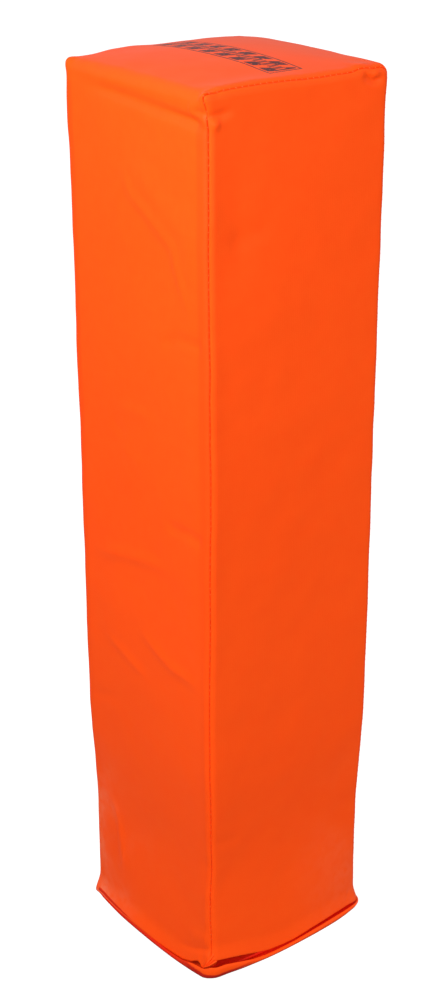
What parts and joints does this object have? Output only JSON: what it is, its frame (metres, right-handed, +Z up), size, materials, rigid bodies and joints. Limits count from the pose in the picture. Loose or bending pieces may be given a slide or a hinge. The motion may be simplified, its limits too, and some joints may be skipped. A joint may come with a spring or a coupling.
{
  "type": "football field pylon",
  "caption": "Upright orange end-zone pylon: a sewn vinyl cover over a foam block, weighted low down, with a hook-and-loop base flap.",
  "frame": {"origin": "centre of the base on the ground", "axes": "+Z up along the pylon, -Y towards the front panel, -X towards the side where the base flap is hinged"},
  "size_m": [0.1134, 0.1134, 0.4572],
  "materials": {
    "orange_vinyl": "satin",
    "foam": "matte",
    "pouch_canvas": "matte",
    "sand": "matte",
    "loop_tape": "matte",
    "hook_tape": "matte",
    "stiffener_board": "satin"
  },
  "bodies": {
    "cover": {"wrap_panel": "orange_vinyl", "front_panel": "orange_vinyl", "back_panel": "orange_vinyl", "foam_core": "foam", "pouch_bag": "pouch_canvas", "pouch_base": "pouch_canvas", "sand_fill": "sand", "loop_tape_front": "loop_tape", "loop_tape_back": "loop_tape", "loop_tape_right": "loop_tape"},
    "base_flap": {"flap_outer_layer": "orange_vinyl", "flap_stiffener": "stiffener_board", "flap_inner_layer": "orange_vinyl", "hook_tape_front": "hook_tape", "hook_tape_back": "hook_tape", "hook_tape_right": "hook_tape"}
  },
  "joints": [
    {"name": "base_flap_hinge", "type": "hinge", "parent": "cover", "child": "base_flap", "pos_m": [-0.0567, 0, 0.002], "axis": [0, 1, 0], "range_deg": [0, 180]}
  ]
}
